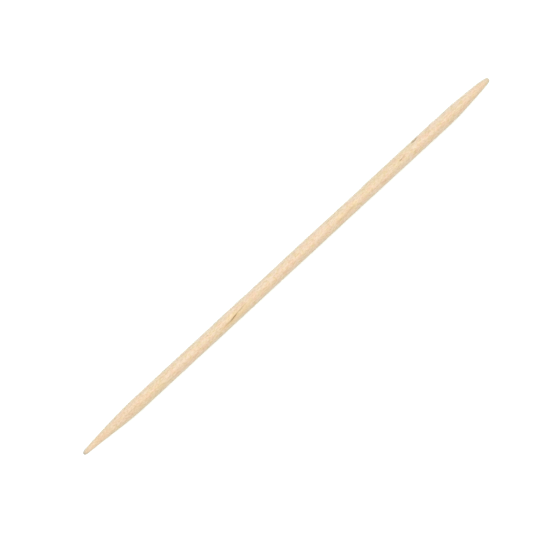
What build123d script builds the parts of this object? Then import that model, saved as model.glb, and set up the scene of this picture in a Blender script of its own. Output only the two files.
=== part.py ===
"""Wooden cuticle stick: one round rod turned from birch, tapered at both ends.

Frame, in millimetres: the rod lies along X on the plane Z = 0, with its length centred on X = 0.
The slender pointed end is at -X and the blunter pusher end is at +X.
"""

import os
from collections import namedtuple
from math import cos, radians, sin, tan

from build123d import *

# Driving dimensions, in millimetres and degrees.
stick_length = 115.0
shaft_diameter = 3.0

# From its tip inwards, each end is a small round nose, a rounded shoulder, a cone, and a long arc that
# eases the cone into the shaft. Slopes are to the rod's axis: the nose hands over to the shoulder at
# shoulder_slope, and the shoulder hands over to the cone at cone_slope.
Taper = namedtuple("Taper", "nose_radius shoulder_slope shoulder_radius cone_slope ease_radius")
pointed_end = Taper(
    nose_radius=0.44,
    shoulder_slope=13.0,
    shoulder_radius=6.0,
    cone_slope=4.6,
    ease_radius=110.0,
)
pusher_end = Taper(
    nose_radius=0.56,
    shoulder_slope=11.5,
    shoulder_radius=24.0,
    cone_slope=4.4,
    ease_radius=75.0,
)

shaft_radius = shaft_diameter / 2
axis_height = shaft_radius
upright = 90.0


def arc_end(start, radius, slope_from, slope_to):
    """Where an arc of this radius ends as its slope to the rod's axis falls from one angle to another.

    A point is (distance inwards from the tip, radius of the rod there).
    """
    a, b = radians(slope_from), radians(slope_to)
    return start[0] + radius * (sin(a) - sin(b)), start[1] + radius * (cos(b) - cos(a))


def arc_points(start, radius, slope_from, slope_to):
    """The start, middle and end of such an arc."""
    middle_slope = (slope_from + slope_to) / 2
    middle = arc_end(start, radius, slope_from, middle_slope)
    return start, middle, arc_end(start, radius, slope_from, slope_to)


def taper_arcs(taper):
    """The nose, shoulder and easing arcs of one end. The cone is the straight run between the last two."""
    nose = arc_points((0.0, 0.0), taper.nose_radius, upright, taper.shoulder_slope)
    shoulder = arc_points(nose[-1], taper.shoulder_radius, taper.shoulder_slope, taper.cone_slope)
    cone_start = shoulder[-1]
    ease_rise = arc_end((0.0, 0.0), taper.ease_radius, taper.cone_slope, 0.0)[1]
    cone_end_radius = shaft_radius - ease_rise
    cone_length = (cone_end_radius - cone_start[1]) / tan(radians(taper.cone_slope))
    cone_end = (cone_start[0] + cone_length, cone_end_radius)
    ease = arc_points(cone_end, taper.ease_radius, taper.cone_slope, 0.0)
    return nose, shoulder, ease


def placed(arcs, tip, inward):
    """The arcs in the sketch, from the tip's own X and the direction inwards from it."""
    return [[(tip + inward * along, radius) for along, radius in arc] for arc in arcs]


pointed_tip = -stick_length / 2
pusher_tip = stick_length / 2
pointed_arcs = placed(taper_arcs(pointed_end), pointed_tip, 1)
pusher_arcs = placed(taper_arcs(pusher_end), pusher_tip, -1)
shaft_start = pointed_arcs[-1][-1]
shaft_end = pusher_arcs[-1][-1]

# The rod's axis runs along X, at the height that lets the shaft rest on Z = 0.
profile_plane = Plane(origin=(0, 0, axis_height), x_dir=(1, 0, 0), z_dir=(0, -1, 0))

with BuildPart() as birch_stick:
    with BuildSketch(profile_plane):
        with BuildLine():
            for nose, shoulder, ease in (pointed_arcs, pusher_arcs):
                ThreePointArc(*nose)
                ThreePointArc(*shoulder)
                Line(shoulder[-1], ease[0])
                ThreePointArc(*ease)
            Line(shaft_start, shaft_end)
            Line((pusher_tip, 0), (pointed_tip, 0))
        make_face()
    revolve(axis=Axis((0, 0, axis_height), (1, 0, 0)))

birch_stick.part.label = "birch_stick"

os.makedirs("parts", exist_ok=True)
export_step(birch_stick.part, "parts/birch_stick.step")

print("straight shaft from X", round(shaft_start[0], 3), "to", round(shaft_end[0], 3))
print("straight shaft length", round(shaft_end[0] - shaft_start[0], 3))
print("volume", round(birch_stick.part.volume, 2), "mm3")
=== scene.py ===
from bisect import bisect
from collections import namedtuple
from math import cos, pi, radians, sin, tan

import bpy
from mathutils import Matrix, Vector, noise


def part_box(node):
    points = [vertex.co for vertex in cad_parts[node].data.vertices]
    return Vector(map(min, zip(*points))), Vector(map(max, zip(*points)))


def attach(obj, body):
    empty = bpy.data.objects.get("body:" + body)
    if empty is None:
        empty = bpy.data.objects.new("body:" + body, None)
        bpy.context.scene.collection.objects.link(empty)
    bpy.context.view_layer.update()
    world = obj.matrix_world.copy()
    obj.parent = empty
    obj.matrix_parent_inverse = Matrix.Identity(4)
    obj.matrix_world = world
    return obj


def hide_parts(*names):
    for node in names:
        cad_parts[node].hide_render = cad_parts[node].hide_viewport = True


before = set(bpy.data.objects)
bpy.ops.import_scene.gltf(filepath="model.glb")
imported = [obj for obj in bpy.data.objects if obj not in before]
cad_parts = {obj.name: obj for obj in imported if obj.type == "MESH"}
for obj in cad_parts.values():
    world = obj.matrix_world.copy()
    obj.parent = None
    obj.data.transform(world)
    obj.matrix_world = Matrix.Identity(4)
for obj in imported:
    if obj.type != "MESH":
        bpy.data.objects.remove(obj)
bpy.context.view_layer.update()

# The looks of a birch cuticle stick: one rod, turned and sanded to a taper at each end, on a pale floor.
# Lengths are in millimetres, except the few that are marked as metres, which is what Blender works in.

MILLIMETRE = 0.001
CAD_NODE = "birch_stick"


# ---------------------------------------------------------------- the stick's sizes, from the frame

low, high = (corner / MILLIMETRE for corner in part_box(CAD_NODE))
SHAFT_RADIUS = (high.z - low.z) / 2
AXIS_HEIGHT = low.z + SHAFT_RADIUS

# From its tip inwards each taper is a round nose, a rounded shoulder, a cone and a long easing arc, as in
# the part's own design, with slopes measured to the stick's axis. The sanding took a little more wood from
# the -Y side: drift is how far the tip ends up towards +Y, and bow how far the middle of the taper does.
Taper = namedtuple(
    "Taper",
    "tip inward nose_radius shoulder_slope shoulder_radius cone_slope ease_radius drift bow",
)
POINT = Taper(
    tip=low.x,
    inward=1,
    nose_radius=0.44,
    shoulder_slope=radians(13),
    shoulder_radius=6,
    cone_slope=radians(4.6),
    ease_radius=110,
    drift=0.0,
    bow=0.077,
)
PUSHER = Taper(
    tip=high.x,
    inward=-1,
    nose_radius=0.56,
    shoulder_slope=radians(11.5),
    shoulder_radius=24,
    cone_slope=radians(4.4),
    ease_radius=75,
    drift=0.09,
    bow=0.055,
)

# How fine the mesh is: its points round the stick, and its steps along each part of the outline.
RING_POINTS = 144
NOSE_STEP = radians(6)
TAPER_STEP = 0.16
SHAFT_STEP = 0.26


def evenly(start, end, step):
    """Values from just after start up to end, about a step apart."""
    count = max(round(abs(end - start) / step), 1)
    return [start + (end - start) * (i + 1) / count for i in range(count)]


def arc(start, radius, slope_from, slope_to, slope_step):
    """Points along an arc as its slope to the axis falls, from just after start."""
    points = []
    for slope in evenly(slope_from, slope_to, slope_step):
        along = start[0] + radius * (sin(slope_from) - sin(slope))
        points.append((along, start[1] + radius * (cos(slope) - cos(slope_from))))
    return points


def taper_outline(taper):
    """Points (distance from the tip, turned radius) of one end's outline, from the tip to the shaft."""
    nose = arc((0, 0), taper.nose_radius, pi / 2, taper.shoulder_slope, NOSE_STEP)
    shoulder_step = TAPER_STEP / taper.shoulder_radius
    shoulder = arc(nose[-1], taper.shoulder_radius, taper.shoulder_slope, taper.cone_slope, shoulder_step)
    cone_start, cone_start_radius = shoulder[-1]
    cone_end_radius = SHAFT_RADIUS - taper.ease_radius * (1 - cos(taper.cone_slope))
    cone_end = cone_start + (cone_end_radius - cone_start_radius) / tan(taper.cone_slope)
    cone = []
    for distance in evenly(cone_start, cone_end, TAPER_STEP):
        cone.append((distance, cone_start_radius + (distance - cone_start) * tan(taper.cone_slope)))
    ease = arc(cone[-1], taper.ease_radius, taper.cone_slope, 0, TAPER_STEP / taper.ease_radius)
    return nose + shoulder + cone + ease


def stick_outline():
    """Points (x, turned radius) of the whole outline, from the pointed end to the pusher end."""
    point_end, pusher_end = (
        [(taper.tip + taper.inward * distance, radius) for distance, radius in taper_outline(taper)]
        for taper in (POINT, PUSHER)
    )
    shaft = [(x, SHAFT_RADIUS) for x in evenly(point_end[-1][0], pusher_end[-1][0], SHAFT_STEP)[:-1]]
    return point_end + shaft + pusher_end[::-1]


OUTLINE = stick_outline()
TAPER_LENGTHS = {taper: taper_outline(taper)[-1][0] for taper in (POINT, PUSHER)}


def turned_radius(x):
    """The radius of the plain turned rod at x."""
    after = bisect(OUTLINE, (x,))
    (x_before, radius_before), (x_after, radius_after) = OUTLINE[after - 1], OUTLINE[after]
    return radius_before + (radius_after - radius_before) * (x - x_before) / (x_after - x_before)


def taper_share(taper, x):
    """0 on the straight shaft, rising to 1 at this end's tip."""
    return max(0, 1 - (x - taper.tip) * taper.inward / TAPER_LENGTHS[taper])


# ---------------------------------------------------------------- marks in the wood

# A mark is a fleck, streak or patch in the wood at the surface. along is its distance from the pointed tip,
# turn is its angle round the stick from the top towards +Y, lean is how far it turns from the stick's axis
# towards +Y, length and width are half sizes, tint is how strongly it colours the wood and depth is how far
# it sinks. Only brown and olive marks sink.
Mark = namedtuple("Mark", "along turn lean length width tint depth", defaults=[0.0])

BROWN_MARKS = (
    # The crack in the main streak and the tail behind it.
    Mark(along=42.1, turn=-15, lean=10, length=1.35, width=0.18, tint=0.66, depth=0.05),
    Mark(along=42.5, turn=-13, lean=9, length=0.90, width=0.08, tint=0.95, depth=0.05),
    Mark(along=40.6, turn=-20, lean=3, length=1.6, width=0.18, tint=0.19, depth=0.03),
    # The dark fleck on the side.
    Mark(along=94.7, turn=55, lean=2, length=0.85, width=0.33, tint=0.66, depth=0.05),
    Mark(along=95.3, turn=60, lean=-4, length=0.60, width=0.24, tint=0.52, depth=0.04),
    Mark(along=94.9, turn=58, lean=1, length=0.65, width=0.10, tint=0.90, depth=0.04),
    # Pin knots.
    Mark(along=35.8, turn=21, lean=0, length=0.18, width=0.12, tint=0.45, depth=0.03),
    Mark(along=90.0, turn=6, lean=8, length=0.40, width=0.14, tint=0.62, depth=0.03),
    # Flecks on the sides that face down.
    Mark(along=58.3, turn=142, lean=-3, length=2.3, width=0.16, tint=0.55, depth=0.05),
    Mark(along=24.7, turn=-112, lean=4, length=1.6, width=0.14, tint=0.40, depth=0.04),
    Mark(along=84.6, turn=-148, lean=-2, length=1.2, width=0.12, tint=0.60, depth=0.05),
    Mark(along=103.2, turn=171, lean=3, length=1.4, width=0.12, tint=0.35, depth=0.02),
)

OLIVE_MARKS = (
    # The tail ahead of the main crack.
    Mark(along=44.4, turn=-1, lean=6, length=1.9, width=0.17, tint=0.42, depth=0.02),
    # The softer streak nearer the pusher end.
    Mark(along=73.2, turn=-21, lean=1, length=2.0, width=0.24, tint=0.18, depth=0.01),
    Mark(along=75.5, turn=-12, lean=8, length=2.0, width=0.20, tint=0.24, depth=0.01),
    # The short streak through a pin knot.
    Mark(along=90.4, turn=7, lean=10, length=1.5, width=0.20, tint=0.25, depth=0.01),
    # A faint long streak where the slender taper begins.
    Mark(along=13.6, turn=-4, lean=2, length=2.6, width=0.18, tint=0.20),
)

# Broad warm patches round the streaks.
GOLDEN_MARKS = (
    Mark(along=40.0, turn=-21, lean=2, length=1.6, width=0.30, tint=0.75),
    Mark(along=43.6, turn=-16, lean=4, length=4.2, width=0.85, tint=0.50),
    Mark(along=73.8, turn=-4, lean=3, length=3.4, width=0.9, tint=0.34),
    Mark(along=58.3, turn=142, lean=-3, length=4.6, width=0.9, tint=0.50),
)

# Small bright patches beside the streaks and near the pusher tip.
PALE_GOLD_MARKS = (
    Mark(along=41.7, turn=7, lean=4, length=1.5, width=0.45, tint=0.75),
    Mark(along=44.6, turn=-24, lean=3, length=1.6, width=0.35, tint=0.45),
    Mark(along=72.6, turn=2, lean=0, length=1.0, width=0.40, tint=0.60),
    Mark(along=76.8, turn=4, lean=3, length=1.3, width=0.50, tint=0.60),
    Mark(along=110.4, turn=-16, lean=3, length=1.1, width=0.40, tint=0.60),
)

# Pink patches on the two tapers.
BLUSH_MARKS = (
    Mark(along=5.6, turn=-8, lean=0, length=2.2, width=0.65, tint=0.80),
    Mark(along=2.0, turn=-15, lean=0, length=1.5, width=0.60, tint=0.60),
    Mark(along=14.0, turn=0, lean=0, length=5.5, width=1.40, tint=0.45),
    Mark(along=112.7, turn=4, lean=0, length=1.1, width=0.65, tint=0.85),
)


def mark_centre(mark):
    """Where a mark's middle is on the turned rod."""
    x = POINT.tip + mark.along
    turn = radians(mark.turn)
    radius = turned_radius(x)
    return Vector((x, radius * sin(turn), AXIS_HEIGHT + radius * cos(turn)))


def mark_turning(mark):
    """Turns the mark's own axes (along, across and outward) into the stick's."""
    round_the_stick = Matrix.Rotation(-radians(mark.turn), 3, "X")
    lean = Matrix.Rotation(radians(mark.lean), 3, "Z")
    return round_the_stick @ lean


# ---------------------------------------------------------------- the stick's mesh

# A flat is a place where the sanding took a little more, with its half length and depth.
Flat = namedtuple("Flat", "along turn length depth")
FLATS = (
    Flat(along=47.6, turn=90, length=1.9, depth=0.05),
    Flat(along=78.3, turn=90, length=3.2, depth=0.05),
    Flat(along=102.6, turn=90, length=2.6, depth=0.08),
    Flat(along=30.0, turn=-150, length=3.0, depth=0.05),
)

THICKNESS_DRIFT = 0.045
GRAIN_RIDGE = 0.012

# The sander leaves faint rings on the tapers. They fade out over the third of a taper next to the shaft.
CHATTER_HEIGHT = 0.007
CHATTER_PITCH = 0.95
CHATTER_WANDER = 1.6
CHATTER_FADE = 1 / 3

# The noses are smoother: the relief shrinks where the rod's radius is under this.
RELIEF_FULL_RADIUS = 0.4

# A mark's dent ends where the square of the distance from its middle, in half sizes, reaches DENT_EDGE.
# All of it is within DENT_SEARCH half lengths. Its edge wanders by up to DENT_WANDER, and it bends about
# DENT_BENDS times in a millimetre.
DENT_EDGE = 1.15
DENT_SEARCH = 1.5
DENT_WANDER = 0.05
DENT_BENDS = 2.2


def smooth(value):
    """0 below 0, 1 above 1 and a smooth rise between."""
    t = min(max(value, 0), 1)
    return t * t * (3 - 2 * t)


def grain_noise(x, turn, radius, length, width, shift=0):
    """Noise from about -1 to 1, with features of this length along the grain and this width across it."""
    y, z = radius * sin(turn), radius * cos(turn)
    return noise.noise(Vector((x / length, y / width, z / width + shift)))


def flats_depth(x, turn):
    """How much wood the sanding's own small flats have taken at a place."""
    depth = 0
    for flat in FLATS:
        along = (x - POINT.tip - flat.along) / flat.length
        facing = cos(turn - radians(flat.turn))
        depth += flat.depth * smooth(1 - abs(along)) * smooth(facing)
    return depth


def relief(x, turn, radius):
    """How far the worn wood stands above (or below) the turned rod."""
    drift = THICKNESS_DRIFT * grain_noise(x, turn, radius, length=13, width=3.2)
    ridges = GRAIN_RIDGE * grain_noise(x, turn, radius, length=8, width=0.34, shift=50)
    share = max(taper_share(POINT, x), taper_share(PUSHER, x))
    wander = CHATTER_WANDER * grain_noise(x, turn, radius, length=3, width=2, shift=90)
    chatter = CHATTER_HEIGHT * smooth(share / CHATTER_FADE) * sin(2 * pi * x / CHATTER_PITCH + wander)
    worn = drift * radius / SHAFT_RADIUS + ridges + chatter - flats_depth(x, turn)
    return worn * smooth(radius / RELIEF_FULL_RADIUS)


MARK_PLACES = [
    (mark, mark_centre(mark), mark_turning(mark).transposed())
    for mark in BROWN_MARKS + OLIVE_MARKS
]


def sunken(point):
    """How deep the marks sink into the wood at a point."""
    depth = 0
    for mark, centre, to_mark in MARK_PLACES:
        if abs(point.x - centre.x) < mark.length * DENT_SEARCH:
            along, across, outward = to_mark @ (point - centre)
            across += DENT_WANDER * noise.noise(Vector((along * DENT_BENDS, mark.along, 0)))
            reach = (along / mark.length) ** 2 + (across / mark.width) ** 2 + outward**2
            depth += mark.depth * smooth(DENT_EDGE - reach)
    return depth


def axis_drift(x):
    """How far the stick's middle line stands off its axis, towards +Y."""
    moved = 0
    for taper in (POINT, PUSHER):
        share = taper_share(taper, x) ** 2
        moved += taper.drift * share + taper.bow * sin(pi * share)
    return moved


def middle(x):
    """The middle of the worn stick at x."""
    return Vector((x, axis_drift(x), AXIS_HEIGHT))


def ring_of_points(x, radius):
    """Points round the worn surface at x, from the top towards +Y."""
    points = []
    for i in range(RING_POINTS):
        turn = 2 * pi * i / RING_POINTS
        outward = Vector((0, sin(turn), cos(turn)))
        rough = radius + relief(x, turn, radius)
        rough -= sunken(Vector((x, 0, AXIS_HEIGHT)) + outward * rough)
        points.append(middle(x) + outward * rough)
    return points


def ring_faces(rings):
    """The faces between rings of points and out to the two tips, as corner numbers, all facing outwards."""
    faces = []
    last_ring = 1 + (rings - 1) * RING_POINTS
    last_tip = last_ring + RING_POINTS
    for i in range(RING_POINTS):
        following = (i + 1) % RING_POINTS
        faces.append((0, 1 + i, 1 + following))
        faces.append((last_tip, last_ring + following, last_ring + i))
        for near in range(1, last_ring, RING_POINTS):
            far = near + RING_POINTS
            faces.append((near + i, far + i, far + following, near + following))
    return faces


def stick_mesh():
    """The whole stick as one closed mesh of rings, with a single point at each tip."""
    points = [middle(POINT.tip)]
    for x, radius in OUTLINE:
        points += ring_of_points(x, radius)
    points.append(middle(PUSHER.tip))
    mesh = bpy.data.meshes.new("turned_birch")
    mesh.from_pydata([point * MILLIMETRE for point in points], [], ring_faces(len(OUTLINE)))
    mesh.polygons.foreach_set("use_smooth", [True] * len(mesh.polygons))
    mesh.update()
    return mesh


# ---------------------------------------------------------------- birch, as a solid wood in nodes


class Tree:
    """The node tree of a material or of the world, with one short call for each kind of node used."""

    def __init__(self, owner):
        self.nodes = owner.node_tree.nodes
        self.links = owner.node_tree.links

    def node(self, kind, inputs=(), **settings):
        made = self.nodes.new(kind)
        for name, value in settings.items():
            setattr(made, name, value)
        for name, value in dict(inputs).items():
            if isinstance(value, bpy.types.NodeSocket):
                self.links.new(value, made.inputs[name])
            else:
                made.inputs[name].default_value = value
        return made

    def maths(self, operation, first, second=0.0, third=0.0):
        inputs = {0: first, 1: second, 2: third}
        return self.node("ShaderNodeMath", inputs, operation=operation).outputs[0]

    def stretch(self, coords, sizes):
        """Coordinates counted in these sizes along X, Y and Z."""
        scale = tuple(1 / size for size in sizes)
        return self.node("ShaderNodeMapping", {"Vector": coords, "Scale": scale}).outputs[0]

    def vector(self, operation, first, second=(0.0, 0.0, 0.0), output="Vector"):
        made = self.node("ShaderNodeVectorMath", {0: first, 1: second}, operation=operation)
        return made.outputs[output]

    def noise(self, coords, sizes, detail=2.0, output=0):
        inputs = {"Vector": self.stretch(coords, sizes), "Scale": 1.0, "Detail": detail}
        return self.node("ShaderNodeTexNoise", inputs).outputs[output]

    def rise(self, value, start, end, top=1.0, bottom=0.0):
        """bottom at start, top at end, smooth between and level outside. start may be the higher one."""
        inputs = {"Value": value, "From Min": start, "From Max": end, "To Min": bottom, "To Max": top}
        return self.node("ShaderNodeMapRange", inputs, interpolation_type="SMOOTHSTEP").outputs[0]

    def mix(self, share, under, over):
        inputs = {0: share, 6: under, 7: over}
        return self.node("ShaderNodeMix", inputs, data_type="RGBA").outputs[2]


CREAM = (0.782, 0.597, 0.457, 1)
HONEY = (0.735, 0.558, 0.298, 1)
BLUSH = (0.806, 0.533, 0.370, 1)
RING_BROWN = (0.570, 0.400, 0.225, 1)
PORE_BROWN = (0.420, 0.275, 0.155, 1)
PALE_FIBRE = (0.830, 0.675, 0.510, 1)
STREAK_BROWN = (0.275, 0.150, 0.035, 1)
STREAK_OLIVE = (0.350, 0.252, 0.090, 1)
GOLDEN = (0.730, 0.505, 0.245, 1)
PALE_GOLD = (0.880, 0.650, 0.385, 1)
END_GREY = (0.330, 0.290, 0.240, 1)
END_OLIVE = (0.560, 0.520, 0.390, 1)

# Most of the wood's patterns are noise that follows its grain. sizes are those of the pattern's features
# along X, Y and Z, and detail is how many finer layers of noise it has.
Pattern = namedtuple("Pattern", "sizes detail")
PATTERNS = {
    "clouds": Pattern(sizes=(7, 2.2, 2.2), detail=2),
    "blushes": Pattern(sizes=(1.7, 1.3, 1.3), detail=3),
    "honey flecks": Pattern(sizes=(0.8, 0.65, 0.65), detail=2),
    "fibres": Pattern(sizes=(5.5, 0.28, 0.28), detail=4),
    "fine fibres": Pattern(sizes=(1.6, 0.045, 0.045), detail=2),
    "speckle": Pattern(sizes=(0.50, 0.26, 0.26), detail=2),
    "pores": Pattern(sizes=(2.6, 0.085, 0.085), detail=1),
}

# A layer's colour comes in as its pattern's value goes from start to end, up to its strength.
Layer = namedtuple("Layer", "pattern start end strength colour")
CLOUD_LAYERS = (
    Layer("clouds", start=0.42, end=0.64, strength=0.60, colour=HONEY),
    Layer("clouds", start=0.50, end=0.32, strength=0.45, colour=BLUSH),
    Layer("blushes", start=0.46, end=0.61, strength=0.92, colour=BLUSH),
    Layer("honey flecks", start=0.48, end=0.67, strength=0.95, colour=HONEY),
)
FIBRE_LAYERS = (
    Layer("fibres", start=0.48, end=0.78, strength=0.45, colour=PALE_FIBRE),
    Layer("fibres", start=0.50, end=0.24, strength=0.22, colour=RING_BROWN),
    Layer("fine fibres", start=0.48, end=0.72, strength=0.34, colour=PALE_FIBRE),
    Layer("fine fibres", start=0.50, end=0.26, strength=0.36, colour=RING_BROWN),
    Layer("speckle", start=0.48, end=0.70, strength=0.66, colour=PALE_FIBRE),
    Layer("speckle", start=0.50, end=0.28, strength=0.42, colour=RING_BROWN),
)

# A rise is the two values of a pattern between which its mark comes in.
PORE_RISE = (0.62, 0.74)
PORE_STRENGTH = 0.34
RAY_SIZES = (0.30, 0.08, 0.75)
RAY_RISE = (0.63, 0.78)
RAY_STRENGTH = 0.20
GOLDEN_FIBRE_RISE = (0.15, 0.75)

# The growth rings are round a pith well outside the stick, this far from its axis along Y and Z. The rises
# are shares of a ring: its latewood darkens across most of it and ends at its outside. The pith is placed
# so that a ring's sharp dark start falls just past the top on the -Y side and lightens slowly beyond it:
# ring grain, and also painted shade that makes the -Y half darker than the +Y half seen from above.
PITH_FROM_AXIS = (-13.0, -17.0)
RING_SPACING = 1.25
LATEWOOD_RISE = (0.15, 0.93)
RING_END_RISE = (1.0, 0.95)
RING_AND_PAINTED_SHADE_STRENGTH = 0.10

# A stain is strongest at a tip and ends at its reach from there. The stains are mottled, never weaker than
# MOTTLE_LEAST of their strength.
Stain = namedtuple("Stain", "taper reach strength colour")
STAINS = (
    Stain(POINT, reach=5.0, strength=0.40, colour=PALE_FIBRE),
    Stain(POINT, reach=2.6, strength=0.26, colour=END_GREY),
    Stain(POINT, reach=1.0, strength=0.78, colour=END_GREY),
    Stain(PUSHER, reach=4.0, strength=0.35, colour=PALE_FIBRE),
    Stain(PUSHER, reach=1.7, strength=0.66, colour=END_OLIVE),
)
MOTTLE_SIZES = (0.30, 0.10, 0.10)
MOTTLE_RISE = (0.62, 0.36)
MOTTLE_LEAST = 0.40

# A mark's colour is full within the first of these shares of its half sizes, and gone outside the second.
MARK_FULL = 0.35
MARK_GONE = 1.25

# The bare wood's roughness and what fibres and pores add to it. The bump is the fibres' height, less the
# pores' and with a share of the fine fibres'.
ROUGHNESS = 0.56
FIBRE_ROUGHNESS = 0.16
PORE_ROUGHNESS = 0.12
BUMP_HEIGHT = 0.012
BUMP_STRENGTH = 0.7
PORE_DEPTH = 0.8
FINE_FIBRE_HEIGHT = 0.7


def mark_share(tree, coords, mark):
    """1 in the middle of a mark, falling smoothly to 0 at its edge."""
    place = {
        "Vector": coords,
        "Location": mark_centre(mark),
        "Rotation": mark_turning(mark).to_euler("XYZ"),
        "Scale": (mark.length, mark.width, 1.0),
    }
    inside = tree.node("ShaderNodeMapping", place, vector_type="TEXTURE").outputs[0]
    reach = tree.vector("LENGTH", inside, output="Value")
    return tree.maths("MULTIPLY", tree.rise(reach, MARK_GONE, MARK_FULL), mark.tint)


def marks_share(tree, coords, marks):
    """How strongly several marks colour the wood: the strongest one counts."""
    shares = [mark_share(tree, coords, mark) for mark in marks]
    strongest = shares[0]
    for share in shares[1:]:
        strongest = tree.maths("MAXIMUM", strongest, share)
    return strongest


def growth_rings_and_painted_shade(tree, coords):
    """How dark the rings make the wood, from 0 to 1: ring grain that also paints shade just past the top on
    -Y.
    """
    pith_y, pith_z = PITH_FROM_AXIS
    from_pith = tree.vector("SUBTRACT", coords, (0, pith_y, pith_z + AXIS_HEIGHT))
    across = tree.vector("MULTIPLY", from_pith, (0, 1, 1))
    distance = tree.vector("LENGTH", across, output="Value")
    phase = tree.maths("FRACT", tree.maths("DIVIDE", distance, RING_SPACING))
    latewood = tree.rise(phase, *LATEWOOD_RISE)
    return tree.maths("MULTIPLY", latewood, tree.rise(phase, *RING_END_RISE))


def wandering(tree, coords, sizes, reach):
    """Coordinates moved across the grain by up to half of reach either way, so that patterns wander."""
    drift = tree.noise(coords, sizes, detail=2.0, output=1)
    centred = tree.vector("SUBTRACT", drift, (0.5, 0.5, 0.5))
    sideways = tree.vector("MULTIPLY", centred, (0, reach, reach))
    return tree.vector("ADD", coords, sideways)


def layered(tree, colour, layers, patterns):
    """The colour with these layers laid over it in turn."""
    for layer in layers:
        share = tree.rise(patterns[layer.pattern], layer.start, layer.end, top=layer.strength)
        colour = tree.mix(share, colour, layer.colour)
    return colour


def stained(tree, colour, coords):
    """The colour with the mottled stains of the two ends laid over it."""
    mottled = tree.rise(tree.noise(coords, MOTTLE_SIZES, detail=3), *MOTTLE_RISE, bottom=MOTTLE_LEAST)
    x = tree.node("ShaderNodeSeparateXYZ", {0: coords}).outputs[0]
    for stain in STAINS:
        from_tip = tree.maths("MULTIPLY", tree.maths("SUBTRACT", x, stain.taper.tip), stain.taper.inward)
        share = tree.rise(from_tip, stain.reach, 0.0, top=stain.strength)
        colour = tree.mix(tree.maths("MULTIPLY", share, mottled), colour, stain.colour)
    return colour


def birch_colour(tree, coords, grain, patterns, pores):
    """The wood's colour, from clouds through fibres, rings and painted shade, rays and pores to stains and
    marks.
    """
    ragged = wandering(tree, coords, sizes=(0.7, 0.5, 0.5), reach=0.16)
    splintered = wandering(tree, ragged, sizes=(0.6, 0.06, 0.06), reach=0.14)
    rays = tree.rise(tree.noise(coords, RAY_SIZES, detail=1), *RAY_RISE, top=RAY_STRENGTH)
    # The rings' darkest band, just past the top on the -Y side, is painted shade as well as ring grain.
    rings = tree.maths("MULTIPLY", growth_rings_and_painted_shade(tree, grain), RING_AND_PAINTED_SHADE_STRENGTH)
    golden_fibres = tree.rise(patterns["fibres"], *GOLDEN_FIBRE_RISE)
    golden = tree.maths("MULTIPLY", marks_share(tree, ragged, GOLDEN_MARKS), golden_fibres)

    colour = layered(tree, CREAM, CLOUD_LAYERS, patterns)
    colour = tree.mix(marks_share(tree, ragged, BLUSH_MARKS), colour, BLUSH)
    colour = tree.mix(marks_share(tree, ragged, PALE_GOLD_MARKS), colour, PALE_GOLD)
    colour = layered(tree, colour, FIBRE_LAYERS, patterns)
    colour = tree.mix(rings, colour, RING_BROWN)
    colour = tree.mix(golden, colour, GOLDEN)
    colour = tree.mix(rays, colour, RING_BROWN)
    colour = tree.mix(tree.maths("MULTIPLY", pores, PORE_STRENGTH), colour, PORE_BROWN)
    colour = stained(tree, colour, coords)
    colour = tree.mix(marks_share(tree, splintered, OLIVE_MARKS), colour, STREAK_OLIVE)
    return tree.mix(marks_share(tree, splintered, BROWN_MARKS), colour, STREAK_BROWN)


def birch():
    """Bare sanded birch: pale and even; faint rings and painted shade, fine pores, small flecks, brown pith
    marks.
    """
    material = bpy.data.materials.new("bare_birch")
    material.use_nodes = True
    tree = Tree(material)
    object_coords = tree.node("ShaderNodeTexCoord").outputs["Object"]
    coords = tree.stretch(object_coords, (MILLIMETRE,) * 3)
    grain = wandering(tree, coords, sizes=(22, 5, 5), reach=1.6)
    patterns = {name: tree.noise(grain, *pattern) for name, pattern in PATTERNS.items()}
    pores = tree.rise(patterns["pores"], *PORE_RISE)
    roughness = tree.maths("MULTIPLY_ADD", patterns["fibres"], FIBRE_ROUGHNESS, ROUGHNESS)
    roughness = tree.maths("MULTIPLY_ADD", pores, PORE_ROUGHNESS, roughness)
    height = tree.maths("MULTIPLY_ADD", pores, -PORE_DEPTH, patterns["fibres"])
    height = tree.maths("MULTIPLY_ADD", patterns["fine fibres"], FINE_FIBRE_HEIGHT, height)
    bump = {"Strength": BUMP_STRENGTH, "Distance": BUMP_HEIGHT * MILLIMETRE, "Height": height}

    shader = tree.nodes["Principled BSDF"]
    tree.links.new(birch_colour(tree, coords, grain, patterns, pores), shader.inputs["Base Color"])
    tree.links.new(roughness, shader.inputs["Roughness"])
    tree.links.new(tree.node("ShaderNodeBump", bump).outputs[0], shader.inputs["Normal"])
    shader.inputs["Specular IOR Level"].default_value = 0.5
    shader.inputs["Sheen Weight"].default_value = 0.35
    shader.inputs["Sheen Tint"].default_value = (0.75, 0.92, 1.0, 1)
    return material


# ---------------------------------------------------------------- floor, lamps and camera

# In metres: the floor's side, how far from the stick its glow starts and stops rising, the lamps' distance
# and side, and the nearest and furthest that the camera sees.
FLOOR_SIZE = 6.0
GLOW_RISE = (0.05, 0.80)
LAMP_DISTANCE = 0.8
LAMP_SIZE = 0.45
CAMERA_NEAR = 0.01
CAMERA_FAR = 10.0

NEAR_GLOW = 0.225
FAR_GLOW = 0.70

# PICTURE_WIDTH is the width that the picture shows at the stick. The last two are how far the stick's
# middle is from the picture's.
PICTURE_WIDTH = 115.58
LENS = 100.0
SENSOR = 36.0
STICK_SLOPE = radians(42.77)
STICK_RIGHT_OF_CENTRE = 1.84
STICK_ABOVE_CENTRE = 2.26


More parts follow.
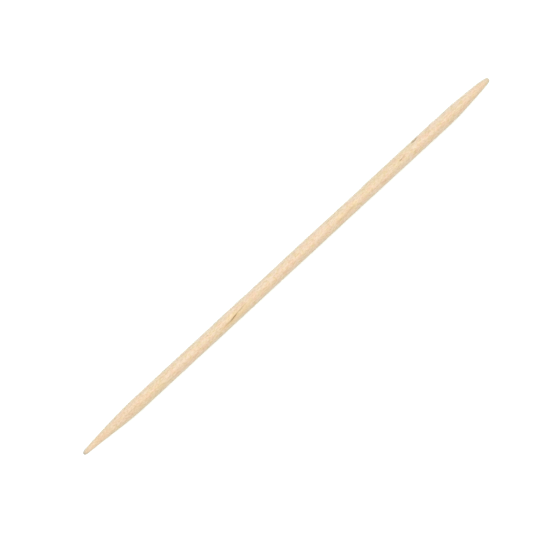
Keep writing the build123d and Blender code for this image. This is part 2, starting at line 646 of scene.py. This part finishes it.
def add_floor(stick):
    """A plain white floor under the stick's lowest point.

    It glows a little, and more the further it is from the stick and lamps, so that it is white all over.
    """
    half = FLOOR_SIZE / 2
    z = min(vertex.co.z for vertex in stick.data.vertices)
    corners = [(-half, -half, z), (half, -half, z), (half, half, z), (-half, half, z)]
    mesh = bpy.data.meshes.new("floor")
    mesh.from_pydata(corners, [], [(0, 1, 2, 3)])
    floor = bpy.data.objects.new("floor", mesh)
    bpy.context.scene.collection.objects.link(floor)
    material = bpy.data.materials.new("white_table")
    material.use_nodes = True
    tree = Tree(material)
    coords = tree.node("ShaderNodeTexCoord").outputs["Object"]
    from_stick = tree.vector("LENGTH", coords, output="Value")
    glow = tree.rise(from_stick, *GLOW_RISE, top=FAR_GLOW, bottom=NEAR_GLOW)
    shader = tree.nodes["Principled BSDF"]
    shader.inputs["Base Color"].default_value = (0.80, 0.85, 0.86, 1)
    shader.inputs["Roughness"].default_value = 0.9
    shader.inputs["Specular IOR Level"].default_value = 0.1
    shader.inputs["Emission Color"].default_value = (1, 1, 1, 1)
    tree.links.new(glow, shader.inputs["Emission Strength"])
    mesh.materials.append(material)


def add_sky():
    """Even soft light from all round, which the camera sees as a white backdrop past the floor."""
    world = bpy.data.worlds.new("studio")
    world.use_nodes = True
    tree = Tree(world)
    light = tree.nodes["Background"]
    light.inputs["Color"].default_value = (0.86, 1.0, 1.04, 1)
    light.inputs["Strength"].default_value = 0.42
    backdrop = tree.node("ShaderNodeBackground", {"Color": (1, 1, 1, 1), "Strength": 1.0}).outputs[0]
    seen = tree.node("ShaderNodeLightPath").outputs["Is Camera Ray"]
    surface = tree.node("ShaderNodeMixShader", {0: seen, 1: light.outputs[0], 2: backdrop}).outputs[0]
    tree.links.new(surface, tree.nodes["World Output"].inputs["Surface"])
    bpy.context.scene.world = world


def add_lamp(name, lean, watts, colour):
    """A square soft lamp facing the stick, leaning from straight above towards +Y."""
    light = bpy.data.lights.new(name, "AREA")
    light.shape = "SQUARE"
    light.size = LAMP_SIZE
    light.energy = watts
    light.color = colour
    lamp = bpy.data.objects.new(name, light)
    lamp.location = (0, LAMP_DISTANCE * sin(lean), LAMP_DISTANCE * cos(lean))
    lamp.rotation_euler = (-lean, 0, 0)
    bpy.context.scene.collection.objects.link(lamp)


def add_lamps():
    """A warm softbox straight above, and a weak cool window on the +Y side."""
    add_lamp("softbox", lean=0.0, watts=5.25, colour=(1.0, 0.925, 0.83))
    add_lamp("window", lean=radians(60), watts=1.25, colour=(0.55, 0.80, 1.15))


def add_camera():
    """Straight above, turned so that the stick runs up to the right with its pusher end at the top."""
    data = bpy.data.cameras.new("camera")
    data.lens = LENS
    data.sensor_width = SENSOR
    camera = bpy.data.objects.new("camera", data)
    above = Vector((0, 0, PICTURE_WIDTH * LENS / SENSOR))
    turn = Matrix.Rotation(-STICK_SLOPE, 3, "Z")
    aside = turn @ Vector((STICK_RIGHT_OF_CENTRE, STICK_ABOVE_CENTRE, 0))
    stick_middle = Vector(((low.x + high.x) / 2, 0, AXIS_HEIGHT))
    camera.location = (stick_middle - aside + above) * MILLIMETRE
    camera.rotation_euler = turn.to_euler()
    data.clip_start = CAMERA_NEAR
    data.clip_end = CAMERA_FAR
    bpy.context.scene.collection.objects.link(camera)
    bpy.context.scene.camera = camera


# ---------------------------------------------------------------- the scene

stick = bpy.data.objects.new("turned_birch_stick", stick_mesh())
bpy.context.scene.collection.objects.link(stick)
stick.data.materials.append(birch())
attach(stick, "root")
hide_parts(CAD_NODE)

add_floor(stick)
add_sky()
add_lamps()
add_camera()
bpy.context.scene.view_settings.view_transform = "Standard"
